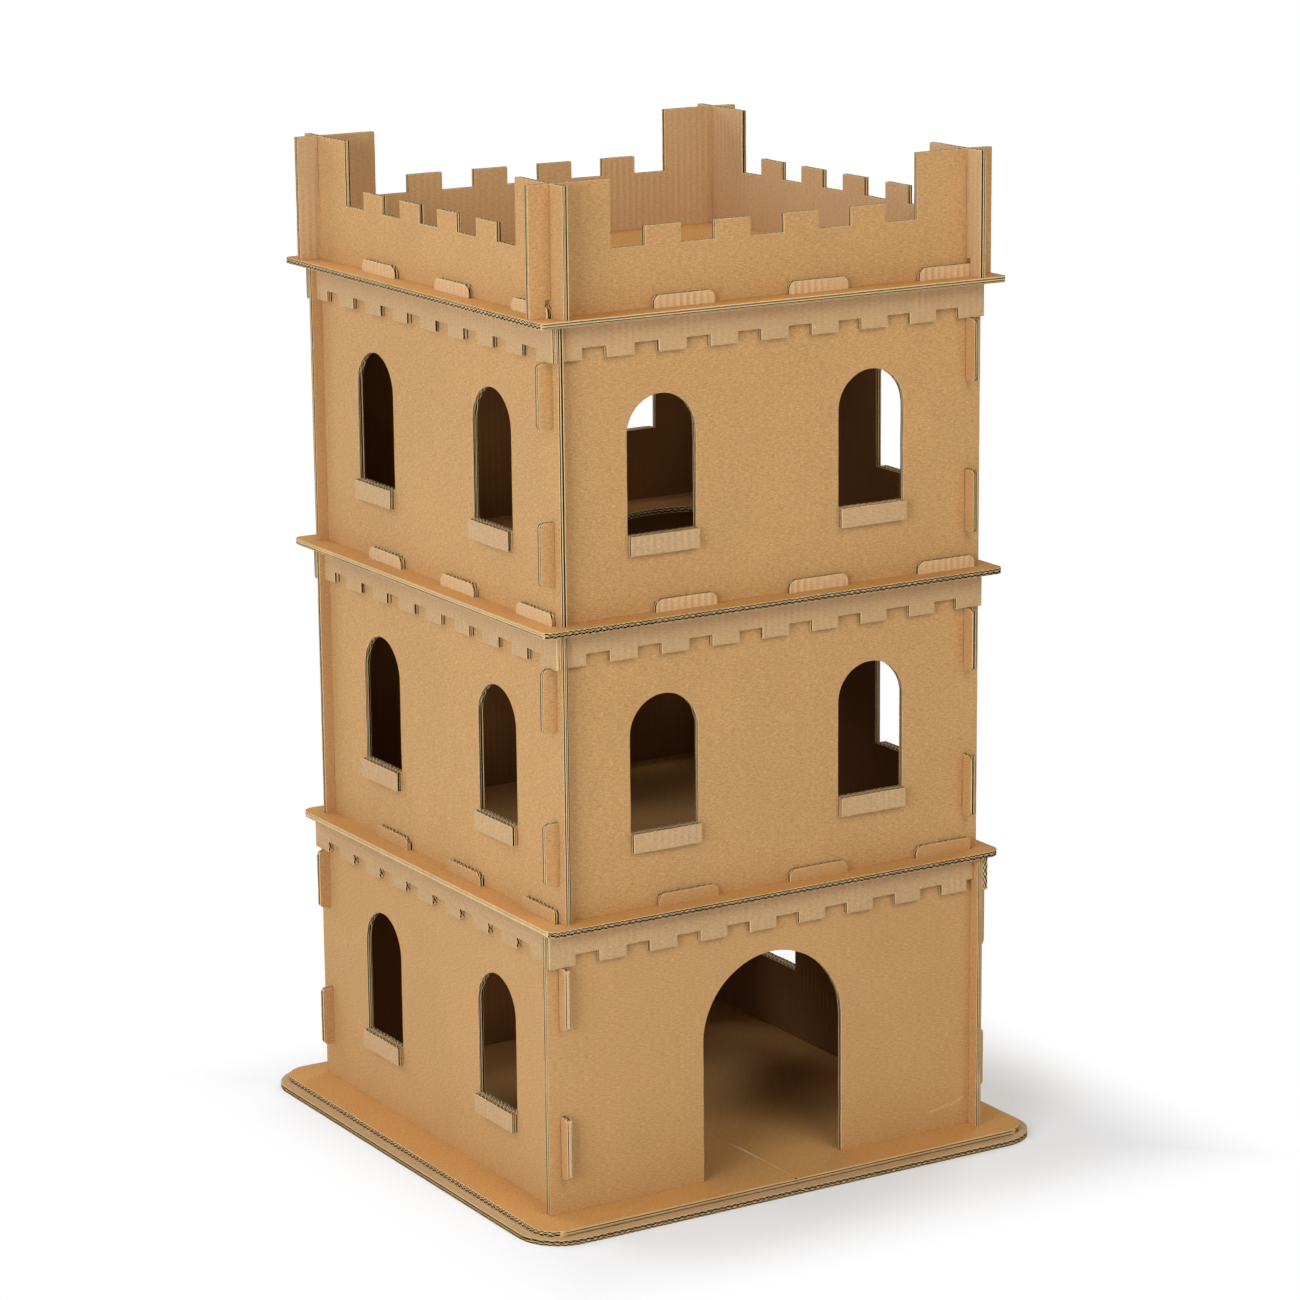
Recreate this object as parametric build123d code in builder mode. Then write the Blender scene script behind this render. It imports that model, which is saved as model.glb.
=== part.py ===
from build123d import *
import math
import os

# A climbing castle of corrugated board, 1.06 m tall, that slots together.
# Three storeys of four interlocking walls stand on a base of two sheets.
# Millimetres, +Z up, the front looks along -Y, the origin is under the middle of the base.

# Board
board = 6.3              # double wall corrugated board
fit = 0.3                # play between a tab and each side of its slot
fold_gap = 0.4           # air left between a wall and a flap that is folded flat against it
fold_skin = 1.2          # board that still holds the flap along its fold

# Base sheets
base_ledge = 44.2        # upper sheet, from the ground storey's outer face to its edge
base_lip = 12.0          # how far the lower sheet runs out beyond the upper one
base_upper_corner = 30.0
base_lower_corner = 50.0
crease_width = 4.0       # fold line across both sheets, from front to back
crease_depth = 1.0
foot_tab_width = 60.0    # tab under a ground wall that locates it in the upper sheet

# Tower
tower_width = 497.0      # across the outer faces of the two upper storeys
storey_height = 299.0    # each wall, from the sheet it stands on to the sheet above
wall_overrun = 12.0      # upper walls run on past the tower's corner by this much
ground_overrun = 14.2    # ground walls, the same, at their other end

# Windows and door
window_width = 80.0
window_spacing = 250.0   # between the centres of a wall's two windows
window_sill = 80.0       # above the wall's foot
window_head = 79.0       # from the top of the arch to the top of the wall
sill_flap = 20.0         # flap folded down outside, under the window
door_width = 170.0
door_head = 64.0

# Corner tabs, two on one end of each wall
corner_tab_height = 65.0
corner_tab_foot = 38.5   # lower tab, above the wall's foot
corner_tab_room = 0.8    # upper tab, below the teeth of the frieze
corner_tab_chamfer = 3.2
corner_tab_reach = 15.5  # beyond the outer face of the wall it passes through
ground_tab_reach = 12.7

# Friezes under each floor
frieze_height = 25.0     # down to the tops of the notches
tooth_depth = 11.7
tooth_width = 32.2
tooth_pitch = 59.8
ground_tooth_inset = 8.5  # ground friezes, from the last tooth to the end of the strip

# Tabs that come up through the floors
floor_tab_count = 3
floor_tab_width = 71.0
floor_tab_pitch = 158.0
floor_tab_past = 2.5     # how far the last tab runs past the tower's face
floor_tab_rise = 13.0    # above the floor
floor_tab_chamfer = 4.7

# Floors
floor_overhang = 26.5    # beyond the tower's outer faces
floor_corners = {"middle": 14.0, "top": 10.0, "terrace": 6.0}
floor_turns = {"middle": 180.0, "top": 0.0, "terrace": -90.0}  # degrees, seen from above
hatch_radius = 100.0
hatch_side = 12.2        # from the inside of the right wall to the hatch's edge
hatch_back = 55.2        # from the inside of the back wall to the hatch's edge

# Parapet
post_height = 130.0
post_inside = 67.75      # a corner post, from the tower's face to the first crenel
crenel_height = 62.0
merlon_rise = 19.0
merlon_width = 41.0
merlon_count = 4
parapet_inset = 2.0      # ends of the panels, inside the edge of the terrace floor
notch_room = 5.0         # over the floor tab that passes under a panel

# Worked out from the sizes above
face = {
    "ground": tower_width / 2 + board,
    "middle": tower_width / 2,
    "top": tower_width / 2,
}
tower_face = tower_width / 2
base_upper_width = 2 * (face["ground"] + base_ledge)
base_lower_width = base_upper_width + 2 * base_lip
base_top = 2 * board
foot = {
    "ground": base_top,
    "middle": base_top + storey_height + board,
    "top": base_top + 2 * (storey_height + board),
    "terrace": base_top + 3 * (storey_height + board),
}
foot_tab_place = (door_width / 2 + tower_face) / 2
floor_width = 2 * (tower_face + floor_overhang)
hatch_across = tower_face - board - hatch_side - hatch_radius
hatch_along = tower_face - board - hatch_back - hatch_radius
floor_tab_last = tower_face + floor_tab_past - floor_tab_width / 2
floor_tab_places = [floor_tab_last - floor_tab_pitch * number for number in range(floor_tab_count)]
floor_tab_top = storey_height + board + floor_tab_rise
parapet_half = floor_width / 2 - parapet_inset
post_edge = tower_face - post_inside
merlon_pitch = (2 * post_edge + merlon_width) / (merlon_count + 1)

# The ground walls run on to the left of the tower's corners, seen from outside, the upper ones
# to the right: 1 is right and -1 is left.
hand = {"ground": -1, "middle": 1, "top": 1}
overrun = {"ground": ground_overrun, "middle": wall_overrun, "top": wall_overrun}
reach = {"ground": ground_tab_reach, "middle": corner_tab_reach, "top": corner_tab_reach}

# The four sides, each with x along the side, y up and z pointing out of the tower
sides = {"front": Plane.front, "right": Plane.right, "back": Plane.back, "left": Plane.left}


def side_plane(side, height, distance):
    """Plane of one side of the tower, at a height and a distance out from its middle."""
    facing = sides[side]
    return Plane(origin=(0, 0, height), x_dir=facing.x_dir, z_dir=facing.z_dir).offset(distance)


def block(left, right, bottom, top, mode=Mode.ADD):
    """Rectangle between four limits in the sketch at hand."""
    with Locations(((left + right) / 2, (bottom + top) / 2)):
        Rectangle(abs(right - left), top - bottom, mode=mode)


def arch(place, bottom, top, width):
    """Opening with straight jambs and a round head, cut from the sketch at hand."""
    spring = top - width / 2
    block(place - width / 2, place + width / 2, bottom, spring, mode=Mode.SUBTRACT)
    with Locations((place, spring)):
        Circle(width / 2, mode=Mode.SUBTRACT)


def floor_tabs(outline):
    """Tabs on top of a wall's or frieze's outline, with cut corners, that pass the floor above."""
    for place in floor_tab_places:
        half = floor_tab_width / 2
        block(place - half, place + half, storey_height, floor_tab_top)
    chamfer(outline.vertices().group_by(Axis.Y)[-1], floor_tab_chamfer)


def save(piece, name):
    """Labels a finished piece and writes it to its own file."""
    piece.part.label = name
    export_step(piece.part, f"parts/{name}.step")


def wall_windows(side, storey):
    """Places of a wall's windows along the side: the door takes their room in front."""
    if side == "front" and storey == "ground":
        return []
    return [-window_spacing / 2, window_spacing / 2]


# One wall of a storey. One end stops at its neighbour and holds two tabs that pass through
# that neighbour; the other end runs on and has the slots for the next wall's tabs.
def make_wall(side, storey):
    way = hand[storey]
    outer = face[storey]
    inner = outer - board
    long_end = way * (outer + overrun[storey])
    short_end = -way * inner
    tab_tip = -way * (outer + reach[storey])
    upper_tab_top = storey_height - frieze_height - tooth_depth - corner_tab_room
    tab_feet = [corner_tab_foot, upper_tab_top - corner_tab_height]

    with BuildPart() as wall:
        with BuildSketch(side_plane(side, foot[storey], outer)) as outline:
            block(short_end, long_end, 0, storey_height)
            if storey == "ground":
                floor_tabs(outline)
                # The last tab is cut off square where the wall ends
                block(tower_face, tower_width, storey_height, floor_tab_top, mode=Mode.SUBTRACT)
                for place in (-foot_tab_place, foot_tab_place):
                    half = foot_tab_width / 2
                    block(place - half, place + half, -board, 0)
            for tab_foot in tab_feet:
                tab_top = tab_foot + corner_tab_height
                block(tab_tip, short_end, tab_foot, tab_top)
                block(
                    way * (inner - fit), way * (outer + fit), tab_foot - fit, tab_top + fit,
                    mode=Mode.SUBTRACT,
                )
            # The outermost corners on the short end's side are those of its two tabs
            ends = outline.vertices().group_by(Axis.X)
            chamfer(ends[0] if way > 0 else ends[-1], corner_tab_chamfer)
            for place in wall_windows(side, storey):
                arch(place, window_sill, storey_height - window_head, window_width)
            if side == "front" and storey == "ground":
                arch(0, 0, storey_height - door_head, door_width)
        extrude(amount=-board)

        # Sill flaps, folded out and down, each held to the wall along its fold
        for place in wall_windows(side, storey):
            left = place - window_width / 2
            right = place + window_width / 2
            with BuildSketch(side_plane(side, foot[storey], outer + fold_gap)):
                block(left, right, window_sill - sill_flap, window_sill)
            extrude(amount=board)
            with BuildSketch(side_plane(side, foot[storey], outer)):
                block(left, right, window_sill - fold_skin, window_sill)
            extrude(amount=fold_gap)
    save(wall, f"{side}_wall_{storey}")


# Toothed strip glued to the outside of a wall, under the floor. On the two upper storeys its
# tabs come up through the floor and hold the next storey's wall, or the parapet, from outside.
def make_frieze(side, storey):
    way = hand[storey]
    outer = face[storey]
    long_end = way * (outer + overrun[storey])
    short_end = -way * (outer - board)
    left = min(long_end, short_end)
    right = max(long_end, short_end)
    notch_top = storey_height - frieze_height
    tooth_bottom = notch_top - tooth_depth
    last_tooth = right - ground_tooth_inset if storey == "ground" else right
    tooth_count = math.ceil((last_tooth - left) / tooth_pitch)

    with BuildPart() as frieze:
        with BuildSketch(side_plane(side, foot[storey], outer)) as outline:
            block(left, right, notch_top, storey_height)
            for number in range(tooth_count):
                tooth_right = last_tooth - number * tooth_pitch
                tooth_left = max(tooth_right - tooth_width, left)
                block(tooth_left, tooth_right, tooth_bottom, storey_height)
            if storey != "ground":
                floor_tabs(outline)
        extrude(amount=board)
    save(frieze, f"{side}_frieze_{storey}")


# Floor sheet: slots for the tabs from below, and a round hatch to climb through. All three are
# cut alike; each is laid down turned by another angle, so that the hatches don't line up.
def make_floor(storey):
    hatch = Vector(hatch_across, hatch_along, 0).rotate(Axis.Z, floor_turns[storey])
    slot_out = tower_face + board / 2
    slots = [(place, -slot_out) for place in floor_tab_places]

    with BuildPart() as floor:
        with BuildSketch(Plane.XY.offset(foot[storey] - board)):
            RectangleRounded(floor_width, floor_width, floor_corners[storey])
            with PolarLocations(0, len(sides)):
                with Locations(*slots):
                    Rectangle(floor_tab_width + 2 * fit, board + 2 * fit, mode=Mode.SUBTRACT)
            with Locations(hatch):
                Circle(hatch_radius, mode=Mode.SUBTRACT)
        extrude(amount=board)
    save(floor, f"floor_{storey}")


# Base: a larger sheet below, and above it the one that takes the feet of the ground walls. A
# crease runs across both, along which they fold for shipping.
def make_crease(width, top):
    """Shallow valley across a sheet's top, cut from the part at hand as a wedge."""
    with BuildSketch(Plane.XZ.offset(-width / 2), mode=Mode.PRIVATE) as valley:
        with BuildLine():
            Polyline(
                (-crease_width / 2, top),
                (0, top - crease_depth),
                (crease_width / 2, top),
                close=True,
            )
        make_face()
    return valley.sketch


with BuildPart() as base_lower:
    with BuildSketch():
        RectangleRounded(base_lower_width, base_lower_width, base_lower_corner)
    extrude(amount=board)
    extrude(make_crease(base_lower_width, board), amount=base_lower_width, mode=Mode.SUBTRACT)

with BuildPart() as base_upper:
    with BuildSketch(Plane.XY.offset(board)):
        RectangleRounded(base_upper_width, base_upper_width, base_upper_corner)
        foot_slots = [
            (-foot_tab_place, -(face["ground"] - board / 2)),
            (foot_tab_place, -(face["ground"] - board / 2)),
        ]
        with PolarLocations(0, len(sides)):
            with Locations(*foot_slots):
                Rectangle(foot_tab_width + 2 * fit, board + 2 * fit, mode=Mode.SUBTRACT)
    extrude(amount=board)
    extrude(make_crease(base_upper_width, base_top), amount=base_upper_width, mode=Mode.SUBTRACT)


# Battlement on one side. The panels cross at the corners: each has a slot open at the top at
# its right end, seen from outside, and one open at the bottom at its left end.
def make_parapet(side):
    inner = tower_face - board
    lap = post_height / 2
    slot_inner = inner - fit
    slot_outer = tower_face + fit
    notch_outer = tower_face + board + fit
    merlon_top = crenel_height + merlon_rise

    with BuildPart() as parapet:
        with BuildSketch(side_plane(side, foot["terrace"], tower_face)):
            block(-parapet_half, parapet_half, 0, crenel_height)
            block(-parapet_half, -post_edge, 0, post_height)
            block(post_edge, parapet_half, 0, post_height)
            for number in range(merlon_count):
                place = (number - (merlon_count - 1) / 2) * merlon_pitch
                block(place - merlon_width / 2, place + merlon_width / 2, 0, merlon_top)
            block(slot_inner, slot_outer, lap, post_height, mode=Mode.SUBTRACT)
            block(-slot_outer, -slot_inner, 0, lap, mode=Mode.SUBTRACT)
            # The neighbour's last floor tab passes under this end
            notch_top = floor_tab_rise + notch_room
            block(-notch_outer, -slot_inner, 0, notch_top, mode=Mode.SUBTRACT)
        extrude(amount=-board)
    save(parapet, f"{side}_parapet")


os.makedirs("parts", exist_ok=True)
save(base_lower, "base_lower")
save(base_upper, "base_upper")
for storey in face:
    for side in sides:
        make_wall(side, storey)
        make_frieze(side, storey)
for storey in floor_turns:
    make_floor(storey)
for side in sides:
    make_parapet(side)
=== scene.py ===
# %% [markdown]
# # A castle of corrugated board
# The castle is 1.06 m tall and slots together from 33 die-cut sheets of double wall board. Its
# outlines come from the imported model, which is loaded here as a fixed frame. What a solid sheet
# can't show is what board is made of: three paper liners with two fluted papers between them.
# So each sheet is built again from its own layers, and those are cut to the sheet's outline.

# %% Load the frame
import math

import bmesh
import bpy
from mathutils import Matrix, Vector, noise
from mathutils.geometry import delaunay_2d_cdt


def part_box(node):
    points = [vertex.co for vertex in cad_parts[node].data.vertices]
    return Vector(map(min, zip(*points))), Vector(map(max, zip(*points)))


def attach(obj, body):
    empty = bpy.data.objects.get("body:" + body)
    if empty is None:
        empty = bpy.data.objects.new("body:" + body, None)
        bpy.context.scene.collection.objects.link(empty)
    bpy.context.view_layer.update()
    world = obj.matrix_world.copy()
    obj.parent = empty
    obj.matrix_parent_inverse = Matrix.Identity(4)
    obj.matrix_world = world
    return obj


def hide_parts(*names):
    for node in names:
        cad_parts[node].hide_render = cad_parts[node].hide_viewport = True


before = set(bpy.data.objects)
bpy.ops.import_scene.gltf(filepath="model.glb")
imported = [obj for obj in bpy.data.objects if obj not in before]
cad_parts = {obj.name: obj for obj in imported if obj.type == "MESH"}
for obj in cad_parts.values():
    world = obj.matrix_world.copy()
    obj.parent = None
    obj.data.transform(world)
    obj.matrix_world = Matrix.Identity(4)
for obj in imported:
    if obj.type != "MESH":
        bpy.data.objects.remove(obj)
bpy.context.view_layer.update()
MM = 0.001
X, Y, UP = Vector((1, 0, 0)), Vector((0, 1, 0)), Vector((0, 0, 1))
print("frame:", len(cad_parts), "sheets")

# %% [markdown]
# ## Camera
# The photo was taken from the front left with a long lens, a little above the castle. The eye
# looks along a bearing and an elevation at a point near the middle of the tower, from 4.55 m.
# A very small roll levels it as the photo has it.

# %% Camera
BEARING = math.radians(31.059)
ELEVATION = math.radians(13.465)
ROLL = math.radians(-0.56)
DISTANCE = 4551.9 * MM
TARGET = Vector((11.7, 4.4, 513.7)) * MM
FOCAL_PX = 4256.6
PHOTO_PX = 1300
SENSOR = 36.0

look = Vector((
    math.sin(BEARING) * math.cos(ELEVATION),
    math.cos(BEARING) * math.cos(ELEVATION),
    -math.sin(ELEVATION),
))
level = Vector((math.cos(BEARING), -math.sin(BEARING), 0))
upright = level.cross(look)
right = level * math.cos(ROLL) + upright * math.sin(ROLL)
top = upright * math.cos(ROLL) - level * math.sin(ROLL)

lens = bpy.data.cameras.new("studio_camera")
lens.sensor_width = SENSOR
lens.lens = FOCAL_PX / PHOTO_PX * SENSOR
lens.clip_end = 50
camera = bpy.data.objects.new("studio_camera", lens)
axes = Matrix((right, top, -look)).transposed().to_4x4()
camera.matrix_world = Matrix.Translation(TARGET - look * DISTANCE) @ axes
bpy.context.scene.collection.objects.link(camera)
bpy.context.scene.camera = camera
print("lens", round(lens.lens, 1), "mm")

# %% [markdown]
# ## Material helpers
# A colour is written as the hex value that a colour picker would read off the paper, and one
# function turns it to the linear numbers that the renderer works in. A second one adds a shader
# node with its settings, its values and its links in one go, and two more say in one word each
# what most of the nodes here do: sums, and mixing one colour into another.

# %% Material helpers
MIX_FIRST, MIX_SECOND, MIX_RESULT = 6, 7, 2   # the Mix node's colour sockets, by number


def paper_colour(code):
    """Linear RGBA of an sRGB hex colour."""
    channels = [int(code[i:i + 2], 16) / 255 for i in (1, 3, 5)]
    linear = [c / 12.92 if c <= 0.04045 else ((c + 0.055) / 1.055) ** 2.4 for c in channels]
    return (*linear, 1.0)


def add_node(tree, kind, inputs=None, **settings):
    """Adds a node; inputs holds a value or another node's output for each of its sockets."""
    made = tree.nodes.new(kind)
    for name, value in settings.items():
        setattr(made, name, value)
    for socket, value in (inputs or {}).items():
        if isinstance(value, bpy.types.NodeSocket):
            tree.links.new(value, made.inputs[socket])
        else:
            made.inputs[socket].default_value = value
    return made


def reckon(tree, operation, first, second=0.5):
    """Output of one sum on one or two shader values."""
    made = add_node(tree, "ShaderNodeMath", {0: first, 1: second}, operation=operation)
    return made.outputs["Value"]


def blend(tree, factor, first, second, way="MIX"):
    """Output of one colour mixed into another."""
    mixed = add_node(tree, "ShaderNodeMix", {
        "Factor": factor, MIX_FIRST: first, MIX_SECOND: second,
    }, data_type="RGBA", blend_type=way)
    return mixed.outputs[MIX_RESULT]


print("white is", paper_colour("#ffffff")[0])

# %% [markdown]
# ## Kraft paper
# Liners are unbleached kraft paper, rolled flat. Up close it is grainy and slightly cloudy, with
# fibres a few millimetres long that lie across the flutes, and a few darker specks. The glue
# lines of the flutes under it telegraph through as a washboard: hardly at all through the outer
# liner, and clearly but unevenly through the greyer inner one. The pattern follows each sheet's
# own map: its first number runs across the flutes and its second along them, both in metres.

# %% Liner materials
BOARD_MAP = "board"
NOISE_LOW, NOISE_HIGH = 0.3, 0.7   # where nearly all of Blender's noise lies
PATCH_MM, PATCH_TINT = 160.0, 0.025
CLOUD_MM, CLOUD_TINT = 55.0, 0.02
GRAIN_MM = 1.4       # coarser than real pulp, so that it shows from a step away
FIBRE_LONG_MM = 6.0
FIBRE_WIDE_MM = 0.9
SPECK_MM = 5.0       # distance between specks
SPECK_SIZE = (0.06, 0.12)   # from the dark middle to the rim, as a share of that distance
SPECK_SHADE = 0.8
RELIEF_MM = 0.12
RELIEF_STRENGTH = 0.5
PAPER_ROUGHNESS = 0.86
PAPER_SHEEN = 0.25


def noise_band(tree, vector, pitch_mm, detail, low, high):
    """Noise of one size, spread between two values."""
    source = add_node(tree, "ShaderNodeTexNoise", {
        "Vector": vector, "Scale": 1 / (pitch_mm * MM), "Detail": detail,
    })
    spread = add_node(tree, "ShaderNodeMapRange", {
        "Value": source.outputs["Fac"], "From Min": NOISE_LOW, "From Max": NOISE_HIGH,
        "To Min": low, "To Max": high,
    })
    return spread.outputs["Result"]


def total_of(tree, values):
    """Sum of several shader values."""
    total = values[0]
    for value in values[1:]:
        total = reckon(tree, "ADD", total, value)
    return total


def washboard(tree, sheet_map, place, flute_mm):
    """A sine across the flutes, stronger in some patches than in others."""
    split = add_node(tree, "ShaderNodeSeparateXYZ", {"Vector": sheet_map})
    turns = reckon(tree, "MULTIPLY", split.outputs["X"], 2 * math.pi / (flute_mm * MM))
    patchy = noise_band(tree, place, CLOUD_MM, 2.0, 0.1, 1.5)
    return reckon(tree, "MULTIPLY", reckon(tree, "SINE", turns), patchy)


print("grain", GRAIN_MM, "mm, fibres", FIBRE_LONG_MM, "mm")

# %% [markdown]
# ## Wear
# Where the surface of kraft paper is torn or rubbed, its pale inner fibres show as short strokes.
# Each worn place is an ellipsoid that fades towards its rim, and noise stretched with it breaks
# it into strokes. The castle has a scuff beside the door, a pale line along the base's crease
# and a small dent in the upper frieze.

# %% Worn places
BARE_FIBRES = "#ecd9b4"
WORN_RIM = (0.6, 1.0)          # where a worn place fades out, as shares of its reach
STROKES = 2.6                  # strokes across a worn place
STROKE_EDGE = (0.46, 0.58)     # noise below this is whole paper, and above it torn


def strokes_at(tree, place, centre, reach, slope):
    """1 on pale strokes in an ellipsoid round a place, and 0 elsewhere; all in millimetres."""
    near = add_node(tree, "ShaderNodeMapping", {
        "Vector": place, "Location": Vector(centre) * MM,
        "Rotation": (0, -math.radians(slope), 0), "Scale": Vector(reach) * MM,
    }, vector_type="TEXTURE").outputs["Vector"]
    away = add_node(tree, "ShaderNodeVectorMath", {0: near}, operation="LENGTH").outputs["Value"]
    inside = add_node(tree, "ShaderNodeMapRange", {
        "Value": away, "From Min": WORN_RIM[0], "From Max": WORN_RIM[1],
        "To Min": 1.0, "To Max": 0.0,
    }).outputs["Result"]
    noisy = add_node(tree, "ShaderNodeTexNoise", {"Vector": near, "Scale": STROKES, "Detail": 1.0})
    torn = add_node(tree, "ShaderNodeMapRange", {
        "Value": noisy.outputs["Fac"], "From Min": STROKE_EDGE[0], "From Max": STROKE_EDGE[1],
    }).outputs["Result"]
    return reckon(tree, "MULTIPLY", inside, torn)


# Read off the photo: a centre, a reach along x, y and z, a slope, and how far the place is
# faded to the colour of bare fibres
DOOR_SCUFF = [
    ((203, -254.8, 34.5), (11, 3, 1.5), 5, 0.5), ((216, -254.8, 37.0), (10, 3, 1.3), 15, 0.5),
    ((228, -254.8, 38.0), (9, 3, 1.3), 20, 0.6), ((237, -254.8, 41.5), (7, 3, 1.2), 25, 0.65),
]
CREASE_LINE = [((0, -205, 12.6), (1.9, 112, 3), 0, 1.0)]
FRIEZE_DENT = [((52, -254.8, 893), (2.4, 3, 1.8), 30, 0.8)]
print("worn places:", len(DOOR_SCUFF + CREASE_LINE + FRIEZE_DENT))

# %% [markdown]
# ## The papers
# All of them are kraft paper, so one function mixes them: a colour, then how much the washboard
# tints it and how high it stands, and how strong the grain is. The friezes and the feet of the tabs
# are the same inner liner, but glue and pressing made its stripes weaker or stronger, and the feet
# of the tabs are painted lighter, as painted light from above.

# %% Papers
B_FLUTE_MM = 6.38
C_FLUTE_MM = 7.9


def paper_material(name, colour, flute_mm, tint=0.0, height=0.0, grain=0.05, worn=()):
    """Kraft paper of one colour; the washboard has a pitch, a tint and a height."""
    made = bpy.data.materials.new(name)
    made.use_nodes = True
    tree = made.node_tree
    tree.nodes.clear()
    place = add_node(tree, "ShaderNodeTexCoord").outputs["Object"]
    sheet_map = add_node(tree, "ShaderNodeUVMap", uv_map=BOARD_MAP).outputs["UV"]
    # Fibres, long across the flutes and thin along them
    stretched = add_node(tree, "ShaderNodeMapping", {
        "Vector": sheet_map, "Scale": (1 / FIBRE_LONG_MM, 1 / FIBRE_WIDE_MM, 1.0),
    })
    fibres = noise_band(tree, stretched.outputs["Vector"], 1.0, 2.0, -grain, grain)
    pulp = noise_band(tree, place, GRAIN_MM, 3.0, -grain, grain)
    ridges = washboard(tree, sheet_map, place, flute_mm)
    # Everything that makes the paper lighter or darker, added up around 1
    shade = total_of(tree, (
        noise_band(tree, place, PATCH_MM, 1.0, 1 - PATCH_TINT, 1 + PATCH_TINT),
        noise_band(tree, place, CLOUD_MM, 3.0, -CLOUD_TINT, CLOUD_TINT),
        pulp, fibres, reckon(tree, "MULTIPLY", ridges, tint),
    ))
    specks = add_node(tree, "ShaderNodeTexVoronoi", {"Vector": place, "Scale": 1 / (SPECK_MM * MM)})
    speck = add_node(tree, "ShaderNodeMapRange", {
        "Value": specks.outputs["Distance"], "From Min": SPECK_SIZE[0], "From Max": SPECK_SIZE[1],
        "To Min": SPECK_SHADE, "To Max": 1.0,
    }).outputs["Result"]
    specked = reckon(tree, "MULTIPLY", shade, speck)
    dyed = blend(tree, 1.0, paper_colour(colour), specked, "MULTIPLY")
    for centre, reach, slope, strength in worn:
        fade = reckon(tree, "MULTIPLY", strokes_at(tree, place, centre, reach, slope), strength)
        dyed = blend(tree, fade, dyed, paper_colour(BARE_FIBRES))
    # Relief: the washboard, with the grain and fibres on top of it
    relief = total_of(tree, (reckon(tree, "MULTIPLY", ridges, height), pulp, fibres))
    bump = add_node(tree, "ShaderNodeBump", {
        "Height": relief, "Strength": RELIEF_STRENGTH, "Distance": RELIEF_MM * MM,
    })
    paper = add_node(tree, "ShaderNodeBsdfPrincipled", {
        "Base Color": dyed, "Roughness": PAPER_ROUGHNESS,
        "Specular IOR Level": PAPER_SHEEN, "Normal": bump.outputs["Normal"],
    })
    add_node(tree, "ShaderNodeOutputMaterial", {"Surface": paper.outputs["BSDF"]})
    return made


PAPERS = (
    # Outer liner of the walls and the battlement, warm and nearly smooth
    paper_material("kraft_liner", "#c89c67", B_FLUTE_MM, 0.006, 0.4, 0.14, DOOR_SCUFF),
    # The same liner on base and floors, painted a little more orange as painted warm light
    # that the walls bounce onto the plates
    paper_material("kraft_liner_of_plates_painted_warm_light", "#d09c5d", B_FLUTE_MM, 0.006, 0.4, 0.14, CREASE_LINE),
    # Inner liner, greyer, with the washboard of the C flute under it
    paper_material("grey_kraft_liner", "#c9a67b", C_FLUTE_MM, 0.02, 2.4, 0.12),
    # The same liner on the friezes, which are glued flat
    paper_material(
        "grey_kraft_liner_of_friezes", "#c6a377", C_FLUTE_MM, 0.016, 2.0, 0.12, FRIEZE_DENT,
    ),
    # The same liner on the tabs that stand up from the floors, pressed so that its ribs show,
    # and painted lighter, as painted light from above
    paper_material("grey_kraft_liner_of_tabs_pressed_and_painted_lit", "#dcb88a", C_FLUTE_MM, 0.06, 5.0, 0.1),
    # Liner on the inside of the rooms, painted dark brown as painted shade in the dim rooms
    paper_material("liner_of_rooms_painted_shade", "#80562b", C_FLUTE_MM, 0.02, 2.2),
    # Bare fibres where a rule cut the papers
    paper_material("die_cut_edge", "#e4c28e", C_FLUTE_MM, grain=0.12),
    # Fluting paper, painted nearly black as painted shade in the flutes between the liners
    paper_material("fluting_paper_painted_shade", "#1f1108", C_FLUTE_MM),
)
OUTER, PLATE_PAINTED_WARM, INNER, GLUED, PRESSED_AND_PAINTED_LIT, ROOM_PAINTED_SHADE, EDGE, FLUTE_PAINTED_SHADE = range(len(PAPERS))
print("papers:", [paper.name for paper in PAPERS])

# %% [markdown]
# ## What the board is made of
# Seen on a cut edge, from the outer liner in: a liner, the finer B flute, a middle liner, the
# coarser C flute and the inner liner. The board's thickness is read from a frieze, which is one
# flat sheet, and the two flutes share what the liners leave in the proportion of real board.
# A rule that cuts across the flutes presses the fluted paper together, so there it looks thicker
# than it is.

# %% Layers of the board
low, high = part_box("front_frieze_top")
BOARD = (high.y - low.y) / MM
LINER = 0.5
MIDDLE_LINER = 0.45
OPEN_MEDIUM = 0.5       # fluted paper that a sharp knife cut: the flutes stay open
BLUNT_MEDIUM = 0.75     # where a blunter rule pressed them half shut
CRUSHED_MEDIUM = 0.85   # on the upright sheets, where it crushed them
B_SHARE = 0.43
flute_room = BOARD - 2 * LINER - MIDDLE_LINER
B_TOP = LINER
B_BOTTOM = LINER + flute_room * B_SHARE
C_TOP = B_BOTTOM + MIDDLE_LINER
C_BOTTOM = BOARD - LINER
STEPS_A_FLUTE = 8
BITE = 0.05           # how far a crest sinks into the liner it is glued to
low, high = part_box("front_wall_top")
FOLD_GAP = (high.y - low.y) / MM - 2 * BOARD
SKIN = FOLD_GAP / 2   # what a layer stands proud by before the outline cuts it
print("board", round(BOARD, 2), "mm, B flute", round(B_BOTTOM - B_TOP, 2), "mm high")

# %% [markdown]
# ## Liners and flutes
# A liner is a flat box and a flute is a grid that a sine wave bends, given its thickness by the
# solidify operator. Both are first made in the board's own directions: across the flutes, along
# them, and down into the board from its outer face. A matrix then lays them in their place.
# A cut that runs along the flutes lays one flute open from the side, and the paper of that flute
# closes the edge some way in. Two thin upright boxes stand for it, one behind each such edge.

# %% Liners and flutes
MARGIN = 1              # how far a layer reaches past its sheet before it is cut
CLOSING_THICK = 0.8
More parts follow.
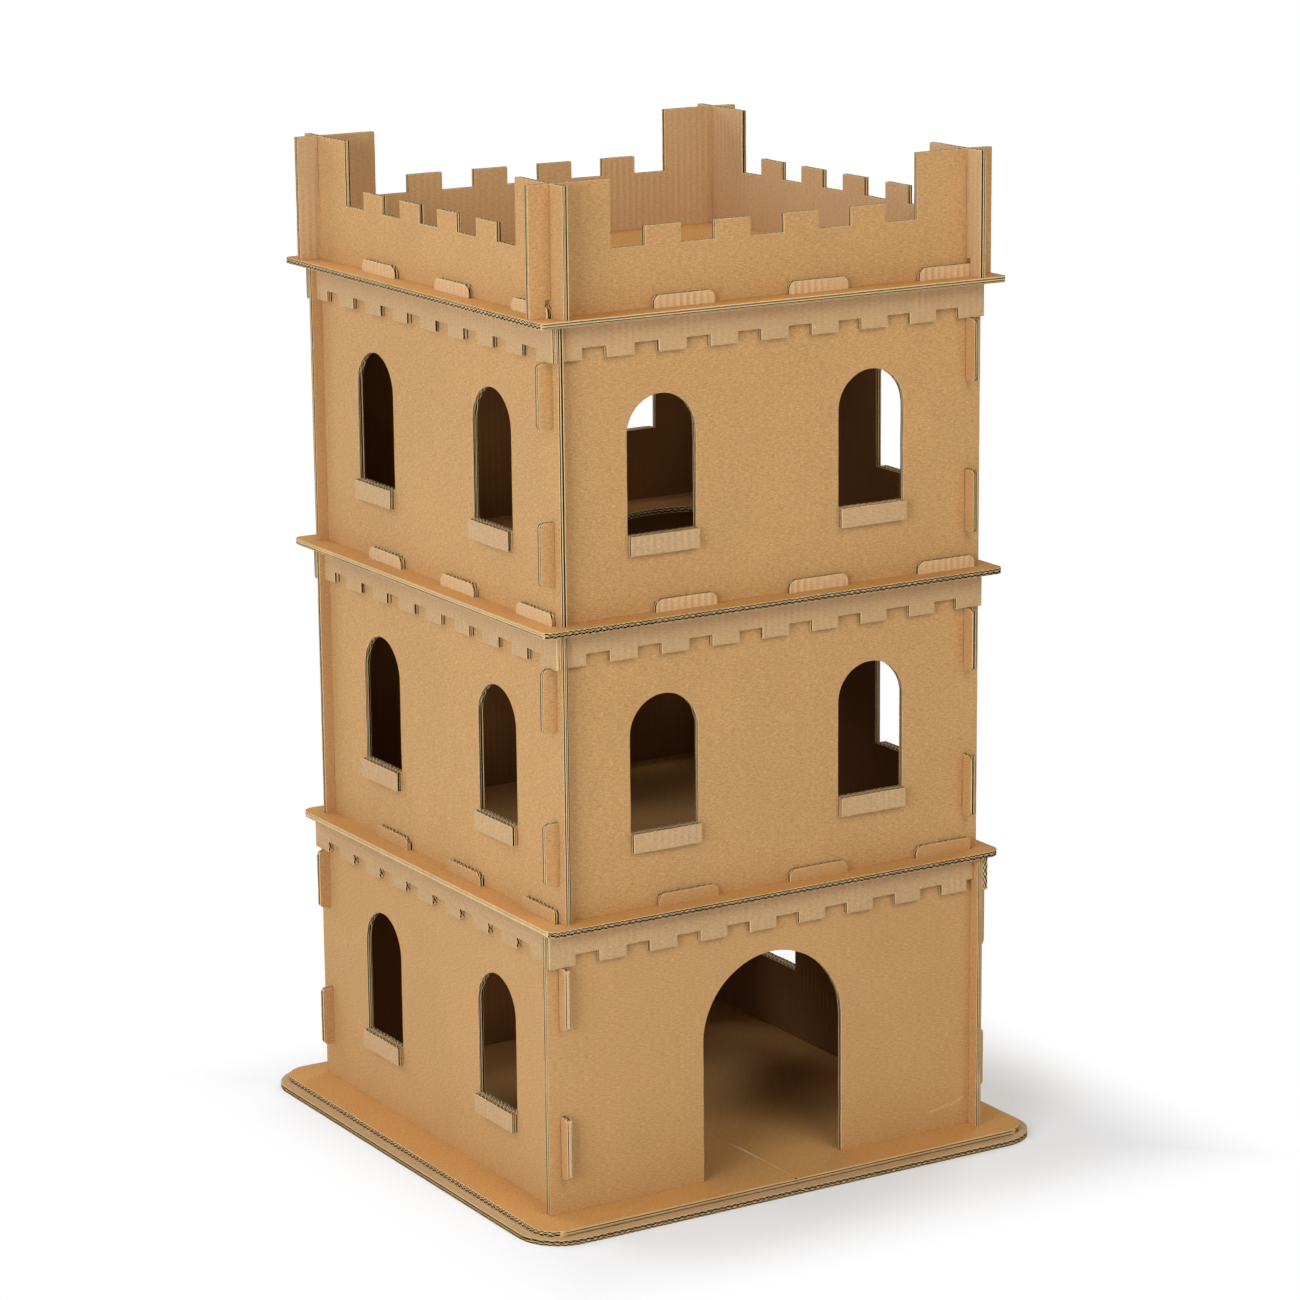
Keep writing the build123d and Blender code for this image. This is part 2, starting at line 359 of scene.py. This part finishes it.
# How far in the edge is closed: floors, the terrace with its battlement, and the ends of walls
CLOSED_FLOOR, CLOSED_TERRACE, CLOSED_WALL_END = 0.6, 1.7, 0.8


def add_box(bm, low, high):
    """Adds a box between two corners, and returns its points."""
    verts = bmesh.ops.create_cube(bm, size=1)["verts"]
    bmesh.ops.scale(bm, vec=high - low, verts=verts)
    bmesh.ops.translate(bm, vec=(low + high) / 2, verts=verts)
    return verts


def layer_mesh(bm, laid, fold):
    """Puts a layer in its place, presses the crease into it if there is one, and returns a mesh."""
    bmesh.ops.transform(bm, matrix=laid, verts=bm.verts)
    if fold:
        fold(bm)
    bmesh.ops.recalc_face_normals(bm, faces=bm.faces)
    # Faces without a paper of their own get the fluting paper, painted nearly black as the shade
    # inside the board
    for face in bm.faces:
        face.material_index = face.material_index or FLUTE_PAINTED_SHADE
    mesh = bpy.data.meshes.new("layer")
    bm.to_mesh(mesh)
    bm.free()
    return mesh


def liner_layer(reach, start, end, laid, fold):
    """Flat paper between two depths; reach holds its limits across and along the flutes."""
    (a0, a1), (b0, b1) = reach
    bm = bmesh.new()
    add_box(bm, Vector((a0, b0, start)), Vector((a1, b1, end)))
    return layer_mesh(bm, laid, fold)


def flute_layer(reach, start, end, pitch, phase, medium, laid, fold, closed):
    """Fluted paper between two depths, its crests glued to the liners on both sides."""
    (a0, a1), (b0, b1) = reach
    steps = math.ceil((a1 - a0) / pitch * STEPS_A_FLUTE)
    swing = (end - start - medium) / 2 + BITE
    bm = bmesh.new()
    bmesh.ops.create_grid(bm, x_segments=steps, y_segments=1, size=0.5)
    bmesh.ops.scale(bm, vec=(a1 - a0, b1 - b0, 1), verts=bm.verts)
    bmesh.ops.translate(bm, vec=((a0 + a1) / 2, (b0 + b1) / 2, 0), verts=bm.verts)
    for vert in bm.verts:
        turn = 2 * math.pi * (vert.co.x + phase) / pitch
        vert.co.z = (start + end - medium) / 2 + swing * math.sin(turn)
    bmesh.ops.solidify(bm, geom=bm.faces[:], thickness=-medium)
    if closed:
        for inside in (a0 + MARGIN + closed, a1 - MARGIN - closed - CLOSING_THICK):
            far_corner = Vector((inside + CLOSING_THICK, b1, end))
            verts = add_box(bm, Vector((inside, b0, start)), far_corner)
            for face in {face for vert in verts for face in vert.link_faces}:
                face.material_index = EDGE
    return layer_mesh(bm, laid, fold)


print("a flute has", STEPS_A_FLUTE, "steps")

# %% [markdown]
# ## Cutting a sheet to its outline
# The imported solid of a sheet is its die: where the layers and the solid overlap is the sheet.
# The corners of the tabs are chamfered in the solid, and a bevel rounds them here, as the die
# does. Then the big faces are taken off, which leaves the cut itself, a ribbon of narrow faces
# all round. A real cut is never quite straight, so the ribbon's long edges are divided and each
# point is moved by a noise of a fraction of a millimetre, in the plane of the sheet.

# %% The die's outline
MERGE = 0.001 * MM    # points closer than this are one
SAME_PLANE = math.radians(0.5)
TAB_CORNER = math.radians(45)
CORNER_SLACK = math.radians(3)
CORNER_SHARE = 0.48   # how much of a chamfer each of its two roundings takes
SEGMENTS = 3
FLAT = 0.95           # a face whose normal lies this close to the sheet's is a big face
SLOPED = 0.8          # and one between this and FLAT is a slope of the crease
UPRIGHT = 0.1         # and one below this is part of the cut
STEP = 8.0            # distance between the points of a cut edge
WANDER = 0.34         # how far a cut wanders
WANDER_MM = 24.0
WANDER_SEED = 7       # Blender seeds its noise from the clock unless it is given a number
CREASE_WIDE = 4.0
CREASE_DEEP = 1.0
# Where the cut is gouged: a place, how far round it, and how much deeper it wanders there
GOUGES = (
    ((-250, 163, 814), 14, 1.6), ((-250, 164, 755), 8, 1.2), ((-250, 168, 717), 12, 2.0),
    ((-250, 30, 700), 40, 0.5), ((-250, 165, 450), 40, 0.6), ((-250, 30, 450), 40, 0.5),
    ((252, -269, 161), 16, 1.6), ((252, -269, 60), 40, 0.5), ((80, -252, 190), 40, 0.5),
    ((-2, -299, 9), 8, 1.4), ((-2, -311, 3), 8, 1.4),
)


def merged_node(node):
    """The node's loose triangles as one closed solid with flat faces."""
    bm = bmesh.new()
    bm.from_mesh(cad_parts[node].data)
    bmesh.ops.remove_doubles(bm, verts=bm.verts, dist=MERGE)
    bmesh.ops.dissolve_limit(bm, angle_limit=SAME_PLANE, verts=bm.verts, edges=bm.edges)
    return bm


def round_tabs(bm, out):
    """Rounds the chamfered corners: each is a flat between two edges that turn by 45 degrees."""
    corners = {}
    for edge in bm.edges:
        run = edge.verts[1].co - edge.verts[0].co
        along_thickness = abs(run.normalized().dot(out)) >= 0.99
        if not along_thickness or abs(edge.calc_face_angle(0) - TAB_CORNER) > CORNER_SLACK:
            continue
        width = min(face.calc_area() / run.length for face in edge.link_faces)
        corners.setdefault(round(width / MM, 1), []).append(edge)
    for width, edges in corners.items():
        bmesh.ops.bevel(
            bm, geom=edges, offset=CORNER_SHARE * width * MM, offset_type="OFFSET",
            segments=SEGMENTS, profile=0.5, affect="EDGES", material=-1,
        )


def ribbon(bm, out):
    """Takes the big faces off and leaves the cut."""
    big = [face for face in bm.faces if abs(face.normal.dot(out)) > FLAT]
    bmesh.ops.delete(bm, geom=big, context="FACES_KEEP_BOUNDARY")


def split_at(bm, axis, place):
    """Divides the faces along a plane, through the points that already lie on it."""
    everything = bm.verts[:] + bm.edges[:] + bm.faces[:]
    bmesh.ops.bisect_plane(
        bm, geom=everything, dist=0.01 * MM, plane_co=axis * place * MM, plane_no=axis,
    )


def wander(bm, out, node):
    """Divides the long cut edges and lets them wander, but not out of the node's box."""
    lengths = {}
    for edge in bm.edges:
        run = edge.verts[1].co - edge.verts[0].co
        if abs(run.normalized().dot(out)) < UPRIGHT and run.length > 1.5 * STEP * MM:
            lengths.setdefault(int(round(run.length / MM, 2) / STEP), []).append(edge)
    for cuts, edges in lengths.items():
        bmesh.ops.subdivide_edges(bm, edges=edges, cuts=cuts)
    low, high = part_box(node)
    for vert in bm.verts:
        flat = vert.co - out * vert.co.dot(out)
        far = WANDER + sum(
            more * max(0, 1 - (vert.co / MM - Vector(at)).length / reach)
            for at, reach, more in GOUGES
        )
        push = noise.noise_vector(flat / (WANDER_MM * MM)) * far * MM
        moved = vert.co + push - out * push.dot(out)
        vert.co = [min(max(moved[i], low[i]), high[i]) for i in range(3)]


def cut_outline(node, out, creased):
    """The cut of a sheet, all round its outline and its openings."""
    bm = merged_node(node)
    round_tabs(bm, out)
    ribbon(bm, out)
    if creased:
        # The crease adds points to the top edge alone, so the ribbon is divided there first
        split_at(bm, X, -CREASE_WIDE / 2)
        split_at(bm, X, CREASE_WIDE / 2)
    wander(bm, out, node)
    return bm


noise.seed_set(WANDER_SEED)
sample = cut_outline("front_wall_top", -Y, False)
print("the cut of a wall:", len(sample.faces), "faces")
sample.free()

# %% [markdown]
# ## Filling an outline
# The wandering ribbon needs big faces again. Blender's fill operator takes points that lie closer
# than 0.03 mm for one, and a castle in metres has many such points, so some sheets would stay
# open and couldn't be cut. A constrained triangulation has no such limit. It wants each outline
# as a closed ring of points, and leaves the rings inside another one free as openings.

# %% Filled outlines
INSIDE_WITH_HOLES = 2   # the triangulation's number for a fill that leaves the openings free
FILL_SLACK = 0.00001


def closed_outlines(edges):
    """Orders loose boundary edges into closed outlines, each a list of points."""
    meeting = {}
    for edge in edges:
        for vert in edge.verts:
            meeting.setdefault(vert, []).append(edge)
    left = dict.fromkeys(edges)
    outlines = []
    while left:
        edge = next(iter(left))
        vert, outline = edge.verts[0], []
        while edge:
            del left[edge]
            outline.append(vert)
            vert = edge.other_vert(vert)
            edge = next((other for other in meeting[vert] if other in left), None)
        outlines.append(outline)
    return outlines


def fill_outlines(bm, edges, out):
    """Fills the outlines that lie in one plane with triangles, and leaves the openings free."""
    outlines = closed_outlines(edges)
    points = [vert for outline in outlines for vert in outline]
    numbers = {vert: number for number, vert in enumerate(points)}
    across = out.orthogonal().normalized()
    along = out.cross(across)
    flat = [Vector((vert.co.dot(across), vert.co.dot(along))) / MM for vert in points]
    rings = [[numbers[vert] for vert in outline] for outline in outlines]
    found = delaunay_2d_cdt(flat, [], rings, INSIDE_WITH_HOLES, FILL_SLACK)
    triangles, sources = found[2], found[3]
    return [
        bm.faces.new([points[sources[corner][0]] for corner in triangle]) for triangle in triangles
    ]


print("fill slack", FILL_SLACK, "mm")

# %% [markdown]
# ## Pale rims
# The rule that cuts board also presses its liners down along the cut, which breaks the surface
# of the paper and leaves a pale rim all round. So an inset makes a narrow ring along the outline
# of the big faces, and the ring's outer edge is pressed in. Blender's manifold boolean keeps
# each face's material, so the die is given its papers here: the big faces are liners, and every
# face that the cut left is bare edge. Inside a room the inner face of walls and floors is the
# rooms' liner, painted dark brown as painted shade. A wall reaches past the room behind it, and
# there its inner face takes the outer liner; a frieze's tabs reach past the floor, and there its
# inner face is painted lighter, as painted light from above.

# %% Rims and papers of the die
RIM = 0.3
TORN_RIM = 0.55   # on the friezes, cut from the side that the rule leaves on last


def press_rims(bm, out, big, rim):
    """Makes a ring along the outline of the big faces and presses its outer edge in."""
    bmesh.ops.inset_region(bm, faces=big, thickness=rim, use_even_offset=True)
    bm.normal_update()
    pressed = {}
    for vert in bm.verts:
        leans = [abs(face.normal.dot(out)) for face in vert.link_faces]
        on_slope = any(UPRIGHT < lean < FLAT for lean in leans)
        if min(leans) < UPRIGHT and max(leans) > FLAT and not on_slope:
            cuts = [face for face in vert.link_faces if abs(face.normal.dot(out)) < UPRIGHT]
            inwards = sum((face.calc_center_median() - vert.co).dot(out) for face in cuts)
            pressed[vert] = math.copysign(rim, inwards)
    for vert, depth in pressed.items():
        vert.co += out * depth


def fill_and_rim(bm, out, outer, inner, room, tabs):
    """Closes the ribbon with big faces that have rims, and marks each face with its paper."""
    planes = {}
    for edge in bm.edges:
        if edge.is_boundary:
            planes.setdefault(round(edge.verts[0].co.dot(out) / MM, 1), []).append(edge)
    big = []
    for edges in planes.values():
        big += fill_outlines(bm, edges, out)
    bmesh.ops.recalc_face_normals(bm, faces=bm.faces)
    press_rims(bm, out, big, (TORN_RIM if inner == GLUED else RIM) * MM)
    for axis in (X, Y):
        if room and abs(axis.dot(out)) < UPRIGHT:
            split_at(bm, axis, -room)
            split_at(bm, axis, room)
    if tabs:
        split_at(bm, UP, tabs)
    bm.normal_update()
    for face in bm.faces:
        side = face.normal.dot(out)
        face.material_index = outer if side > FLAT else inner if side < -FLAT else EDGE
        if FLAT > abs(side) > SLOPED:
            face.material_index = outer if side > 0 else inner
        centre = face.calc_center_median() / MM
        inside = face.material_index == inner
        # Inside the room the inner face keeps the rooms' liner, painted dark as painted shade;
        # beyond the room it takes the outer liner
        if inside and room and max(abs(centre.x), abs(centre.y)) > room:
            face.material_index = outer
        # A frieze's tabs above the floor are painted lighter, as painted light from above
        if inside and tabs and centre.z > tabs:
            face.material_index = PRESSED_AND_PAINTED_LIT


print("rim", RIM, "mm, torn rim", TORN_RIM, "mm")

# %% [markdown]
# ## One sheet of board
# The function lays the five layers, cuts each with the die and joins what is left. A wall with
# windows has a second set of layers outside it: the flap that was cut free of the window on
# three sides, folded out and down, so that its inner, greyer side shows. Each sheet's map is
# written last, across and along the flutes, so that the washboard lies over the real flutes.

# %% One sheet
PHASE_STEP = 2.3        # each sheet's flutes start this much further on than the last sheet's
JOIN = 0.0005 * MM


def give_papers(mesh):
    """Puts the papers in the mesh's slots, in the order of their numbers."""
    for paper in PAPERS:
        mesh.materials.append(paper)


def new_solid(name, mesh):
    """Object that only lends its shape to a cut, and is removed afterwards."""
    give_papers(mesh)
    made = bpy.data.objects.new(name, mesh)
    bpy.context.scene.collection.objects.link(made)
    return made


def cut_layer(mesh, die):
    """What the die leaves of a layer, as a mesh."""
    layer = new_solid("layer", mesh)
    cut = layer.modifiers.new("die", "BOOLEAN")
    cut.operation = "INTERSECT"
    cut.solver = "MANIFOLD"
    cut.object = die
    ready = layer.evaluated_get(bpy.context.evaluated_depsgraph_get())
    left = bpy.data.meshes.new_from_object(ready)
    bpy.data.objects.remove(layer)
    return left


def box_corners(node):
    """The eight corners of a node's box, in millimetres."""
    low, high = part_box(node)
    sides = [(low.x, high.x), (low.y, high.y), (low.z, high.z)]
    return [Vector((x, y, z)) / MM for x in sides[0] for y in sides[1] for z in sides[2]]


def board_layers(node, out, face_at, flutes, phase, medium, fold, closed, die):
    """The five cut layers of one flat piece of board, whose outer liner lies at face_at."""
    into = -out
    across = flutes.cross(into)
    reach = []
    for axis in (across, flutes):
        places = [corner.dot(axis) for corner in box_corners(node)]
        reach.append((min(places) - MARGIN, max(places) + MARGIN))
    turn = Matrix((across, flutes, into)).transposed().to_4x4()
    laid = Matrix.Scale(MM, 4) @ Matrix.Translation(out * face_at) @ turn
    meshes = [
        liner_layer(reach, -SKIN, B_TOP, laid, fold),
        flute_layer(reach, B_TOP, B_BOTTOM, B_FLUTE_MM, phase, medium, laid, fold, closed),
        liner_layer(reach, B_BOTTOM, C_TOP, laid, fold),
        flute_layer(reach, C_TOP, C_BOTTOM, C_FLUTE_MM, phase, medium, laid, fold, closed),
        liner_layer(reach, C_BOTTOM, BOARD + MARGIN, laid, fold),
    ]
    return [cut_layer(mesh, die) for mesh in meshes]


def dress_sheet(
    node, out, flutes, number, outer, inner,
    fold=None, flap=False, room=None, tabs=None, closed=CLOSED_WALL_END,
):
    """Builds one sheet from its layers, hangs it on the root body and hides its node."""
    phase = number * PHASE_STEP
    medium = CRUSHED_MEDIUM if not out.z else OPEN_MEDIUM if flutes == Y else BLUNT_MEDIUM
    back = min(corner.dot(out) for corner in box_corners(node))
    bm = cut_outline(node, out, fold)
    fill_and_rim(bm, out, outer, inner, room, tabs)
    if flap:
        # A flap is folded over, so its two sides change places
        for face in bm.faces:
            outside = face.calc_center_median().dot(out) / MM > back + BOARD + SKIN
            if outside and face.material_index != EDGE:
                face.material_index = INNER if face.material_index == OUTER else OUTER
    mesh = bpy.data.meshes.new("die")
    bm.to_mesh(mesh)
    bm.free()
    die = new_solid("die", mesh)
    parts = board_layers(node, out, back + BOARD, flutes, phase, medium, fold, closed, die)
    if flap:
        flap_back = -(back + BOARD + FOLD_GAP)
        parts += board_layers(node, -out, flap_back, flutes, phase, medium, fold, closed, die)
    bpy.data.objects.remove(die)

    joined = bmesh.new()
    for part in parts:
        joined.from_mesh(part)
    bmesh.ops.remove_doubles(joined, verts=joined.verts, dist=JOIN)
    across = flutes.cross(-out)
    uv = joined.loops.layers.uv.new(BOARD_MAP)
    for face in joined.faces:
        for loop in face.loops:
            place = loop.vert.co
            loop[uv].uv = (place.dot(across) + phase * MM, place.dot(flutes))
    finished = bpy.data.meshes.new(node + "_sheet")
    joined.to_mesh(finished)
    joined.free()
    give_papers(finished)
    piece = bpy.data.objects.new(node + "_sheet", finished)
    bpy.context.scene.collection.objects.link(piece)
    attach(piece, "root")
    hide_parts(node)
    return piece


print("the flutes of neighbouring sheets are", PHASE_STEP, "mm out of step")

# %% [markdown]
# ## The base
# Two sheets glued together, the larger one below. The upper one has its flutes from side to
# side and shows its outer liner; the lower one has them from front to back and lies on its outer
# liner. Both fold along a crease down the middle, where a wheel pressed a shallow valley into
# the top. The layers are split along that line and its middle is pushed down with them.

# %% Base sheets
def press_crease(top_at):
    """Returns the pressing of one sheet whose top lies at a height in millimetres."""
    def press(bm):
        for place in (-CREASE_WIDE / 2, 0, CREASE_WIDE / 2):
            everything = bm.verts[:] + bm.edges[:] + bm.faces[:]
            bmesh.ops.bisect_plane(bm, geom=everything, plane_co=X * place * MM, plane_no=X)
        for vert in bm.verts:
            near = max(0, 1 - abs(vert.co.x) / MM / (CREASE_WIDE / 2))
            depth = min(max((top_at - vert.co.z / MM) / BOARD, 0), 1)
            vert.co.z -= CREASE_DEEP * MM * near * (1 - depth)
    return press


# The upper base sheet's top is the plates' liner, painted more orange as painted warm light
base = [
    dress_sheet(
        "base_lower", -UP, Y, 1, PLATE_PAINTED_WARM, INNER, press_crease(BOARD), closed=None,
    ),
    dress_sheet(
        "base_upper", UP, X, 2, PLATE_PAINTED_WARM, INNER, press_crease(2 * BOARD),
        closed=CLOSED_TERRACE,
    ),
]
print("base:", [(piece.name, len(piece.data.polygons)) for piece in base])

# %% [markdown]
# ## Walls and friezes
# The four sides repeat by a quarter turn. The walls show the outer liner and have upright
# flutes. The friezes were cut from board turned over, so the greyer liner shows, and on the left
# and right of the ground storey their flutes lie flat. Every wall but the one with the door has
# flaps under its windows.

# %% Walls and friezes
ALONG = {"front": X, "right": Y, "back": -X, "left": -Y}
OUTWARDS = {"front": -Y, "right": X, "back": Y, "left": -X}
STOREYS = ("ground", "middle", "top")
# Half the width of each storey's room, to the middle of the walls round it
ROOMS = {storey: -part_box(f"front_frieze_{storey}")[1].y / MM - BOARD / 2 for storey in STOREYS}
# Height at which the tabs of a frieze come out of the floor above; the ground storey has none
TAB_FEET = {
    "ground": None,
    "middle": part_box("floor_top")[1].z / MM,
    "top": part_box("floor_terrace")[1].z / MM,
}
# The ends of the ground walls were cut on a flute, and those above between two
WALL_ENDS = {"ground": CLOSED_WALL_END, "middle": None, "top": None}
number = 3
sheets = []
for storey in STOREYS:
    for side, out in OUTWARDS.items():
        flap = (side, storey) != ("front", "ground")
        # A wall's inner face inside the room is painted dark brown, as painted shade
        sheets.append(dress_sheet(
            f"{side}_wall_{storey}", out, UP, number, OUTER, ROOM_PAINTED_SHADE,
            flap=flap, room=ROOMS[storey], closed=WALL_ENDS[storey],
        ))
        lying = storey == "ground" and side in ("left", "right")
        # Above the floor, a frieze's tabs are painted lighter, as painted light from above
        sheets.append(dress_sheet(
            f"{side}_frieze_{storey}", -out, ALONG[side] if lying else UP, number + 1,
            OUTER, GLUED, tabs=TAB_FEET[storey],
        ))
        number += 2
print("walls and friezes:", len(sheets), "with faces:", sum(len(s.data.polygons) for s in sheets))

# %% [markdown]
# ## Battlement
# Four panels stand on the terrace and cross at its corners, each halved into the next. They show
# the outer liner outwards and the greyer one towards the terrace, with upright flutes.

# %% Battlement
battlement = []
for side, out in OUTWARDS.items():
    battlement.append(dress_sheet(
        f"{side}_parapet", out, UP, number, OUTER, INNER, closed=CLOSED_TERRACE,
    ))
    number += 1
print("battlement:", [(piece.name, len(piece.data.polygons)) for piece in battlement])

# %% [markdown]
# ## Floors
# The three floors lie with the outer liner up. The upper one was laid a quarter turn round, so
# its flutes run from side to side, and those of the other two from front to back.

# %% Floors
floors = []
for name, flutes, storey, closed in (
    ("floor_middle", Y, "ground", CLOSED_FLOOR),
    ("floor_top", Y, "middle", CLOSED_FLOOR),
    ("floor_terrace", X, "top", CLOSED_TERRACE),
):
    # A floor's top is painted more orange, as painted warm light from the walls, and its underside
    # inside the room is painted dark brown, as painted shade
    floors.append(dress_sheet(
        name, UP, flutes, number, PLATE_PAINTED_WARM, ROOM_PAINTED_SHADE, room=ROOMS[storey], closed=closed,
    ))
    number += 1
print("floors:", [(piece.name, len(piece.data.polygons)) for piece in floors])

# %% [markdown]
# ## Studio floor
# A white sweep, as in a product photo. The floor adds white light for the camera alone: where
# lamps reach it, it is as white as the surround, and where the castle keeps them off, its soft
# shadow stays. Further out the camera sees plain white, so that the sweep has no end.

# %% Studio floor
FLOOR_SIZE = 60.0
FLOOR_ADDED = 0.16    # white that the camera sees on top of the floor's own light
SHADOW_REACH = (0.30, 0.47)   # the floor's own shade fades out between these distances
SHADOW_MIDDLE = (0.05, -0.05, 0)   # the shadow shows on the side away from the main lamp
WHITE = (1, 1, 1, 1)

floor_bm = bmesh.new()
bmesh.ops.create_grid(floor_bm, x_segments=1, y_segments=1, size=FLOOR_SIZE / 2)
floor_mesh = bpy.data.meshes.new("studio_floor")
floor_bm.to_mesh(floor_mesh)
floor_bm.free()
studio_floor = bpy.data.objects.new("studio_floor", floor_mesh)
bpy.context.scene.collection.objects.link(studio_floor)

pale = bpy.data.materials.new("pale_studio_floor")
pale.use_nodes = True
tree = pale.node_tree
tree.nodes.clear()
place = add_node(tree, "ShaderNodeTexCoord").outputs["Object"]
aside = add_node(tree, "ShaderNodeVectorMath", {0: place, 1: SHADOW_MIDDLE}, operation="SUBTRACT")
sides = add_node(tree, "ShaderNodeVectorMath", {0: aside.outputs["Vector"]}, operation="ABSOLUTE")
sides = add_node(tree, "ShaderNodeSeparateXYZ", {"Vector": sides.outputs["Vector"]})
away = reckon(tree, "MAXIMUM", sides.outputs["X"], sides.outputs["Y"])
rays = add_node(tree, "ShaderNodeLightPath").outputs["Is Camera Ray"]
far = add_node(tree, "ShaderNodeMapRange", {
    "Value": away, "From Min": SHADOW_REACH[0], "From Max": SHADOW_REACH[1],
}, interpolation_type="SMOOTHSTEP").outputs["Result"]
seen_far = reckon(tree, "MULTIPLY", far, rays)
lift = reckon(tree, "MULTIPLY", rays, FLOOR_ADDED)
lit = add_node(tree, "ShaderNodeBsdfDiffuse", {"Color": paper_colour("#ecf1f8")})
glow = add_node(tree, "ShaderNodeEmission", {"Color": WHITE, "Strength": lift})
near = add_node(tree, "ShaderNodeAddShader", {0: lit.outputs["BSDF"], 1: glow.outputs["Emission"]})
white = add_node(tree, "ShaderNodeEmission", {"Color": WHITE, "Strength": 1.0})
both = add_node(tree, "ShaderNodeMixShader", {
    0: seen_far, 1: near.outputs["Shader"], 2: white.outputs["Emission"],
})
add_node(tree, "ShaderNodeOutputMaterial", {"Surface": both.outputs["Shader"]})
floor_mesh.materials.append(pale)
print("floor", FLOOR_SIZE, "m")

# %% [markdown]
# ## Surround
# The camera sees the world as plain white, but the world lights the castle only weakly, so that
# the rooms stay as dark as they are in the photo. What light it gives is warm, as light is that
# other kraft paper sends back.

# %% Surround
WORLD_LIGHT = 0.1
WORLD_SHADE = (1.0, 0.86, 0.7, 1)

world = bpy.data.worlds.new("studio")
world.use_nodes = True
bpy.context.scene.world = world
tree = world.node_tree
tree.nodes.clear()
rays = add_node(tree, "ShaderNodeLightPath").outputs["Is Camera Ray"]
strength = add_node(tree, "ShaderNodeMapRange", {
    "Value": rays, "To Min": WORLD_LIGHT, "To Max": 1.0,
})
surround = add_node(tree, "ShaderNodeBackground", {
    "Color": blend(tree, rays, WORLD_SHADE, WHITE), "Strength": strength.outputs["Result"],
})
add_node(tree, "ShaderNodeOutputWorld", {"Surface": surround.outputs["Background"]})
print("world light", WORLD_LIGHT)

# %% [markdown]
# ## Lamps
# Large soft boxes at one distance. The main one stands low on the left and is a little cool,
# which makes the left walls the brightest. A warmer one from the front lights the front walls
# from higher up, so they darken towards the ground. Two weak ones behind the castle are there
# for the other views.

# %% Lamps
LAMP_DISTANCE = 3.6
LAMP_SIZE = 1.6
COOL = (0.98, 1.0, 1.04)
WARM = (1.04, 1.0, 0.92)
PLAIN = (1, 1, 1)


def soft_light(name, bearing, elevation, watts, tint):
    """Square lamp, aimed at the castle; bearing 0 is in front and -90 on the left."""
    lamp = bpy.data.lights.new(name, "AREA")
    lamp.shape = "SQUARE"
    lamp.size = LAMP_SIZE
    lamp.energy = watts
    lamp.color = tint
    made = bpy.data.objects.new(name, lamp)
    a, e = math.radians(bearing), math.radians(elevation)
    away = Vector((math.sin(a) * math.cos(e), -math.cos(a) * math.cos(e), math.sin(e)))
    turn = away.to_track_quat("Z", "Y").to_matrix().to_4x4()
    made.matrix_world = Matrix.Translation(TARGET + away * LAMP_DISTANCE) @ turn
    bpy.context.scene.collection.objects.link(made)


for lamp in (
    ("left_low", -60, 12, 58, COOL),
    ("left_high", -90, 45, 20, COOL),
    ("front_high", 0, 42, 39, WARM),
    ("front_right_low", 30, 12, 13, WARM),
    ("overhead", -150, 78, 26, PLAIN),
    ("back_left", -150, 25, 34, PLAIN),
    ("back_right", 120, 25, 34, PLAIN),
):
    soft_light(*lamp)
bpy.context.scene.view_settings.view_transform = "Standard"
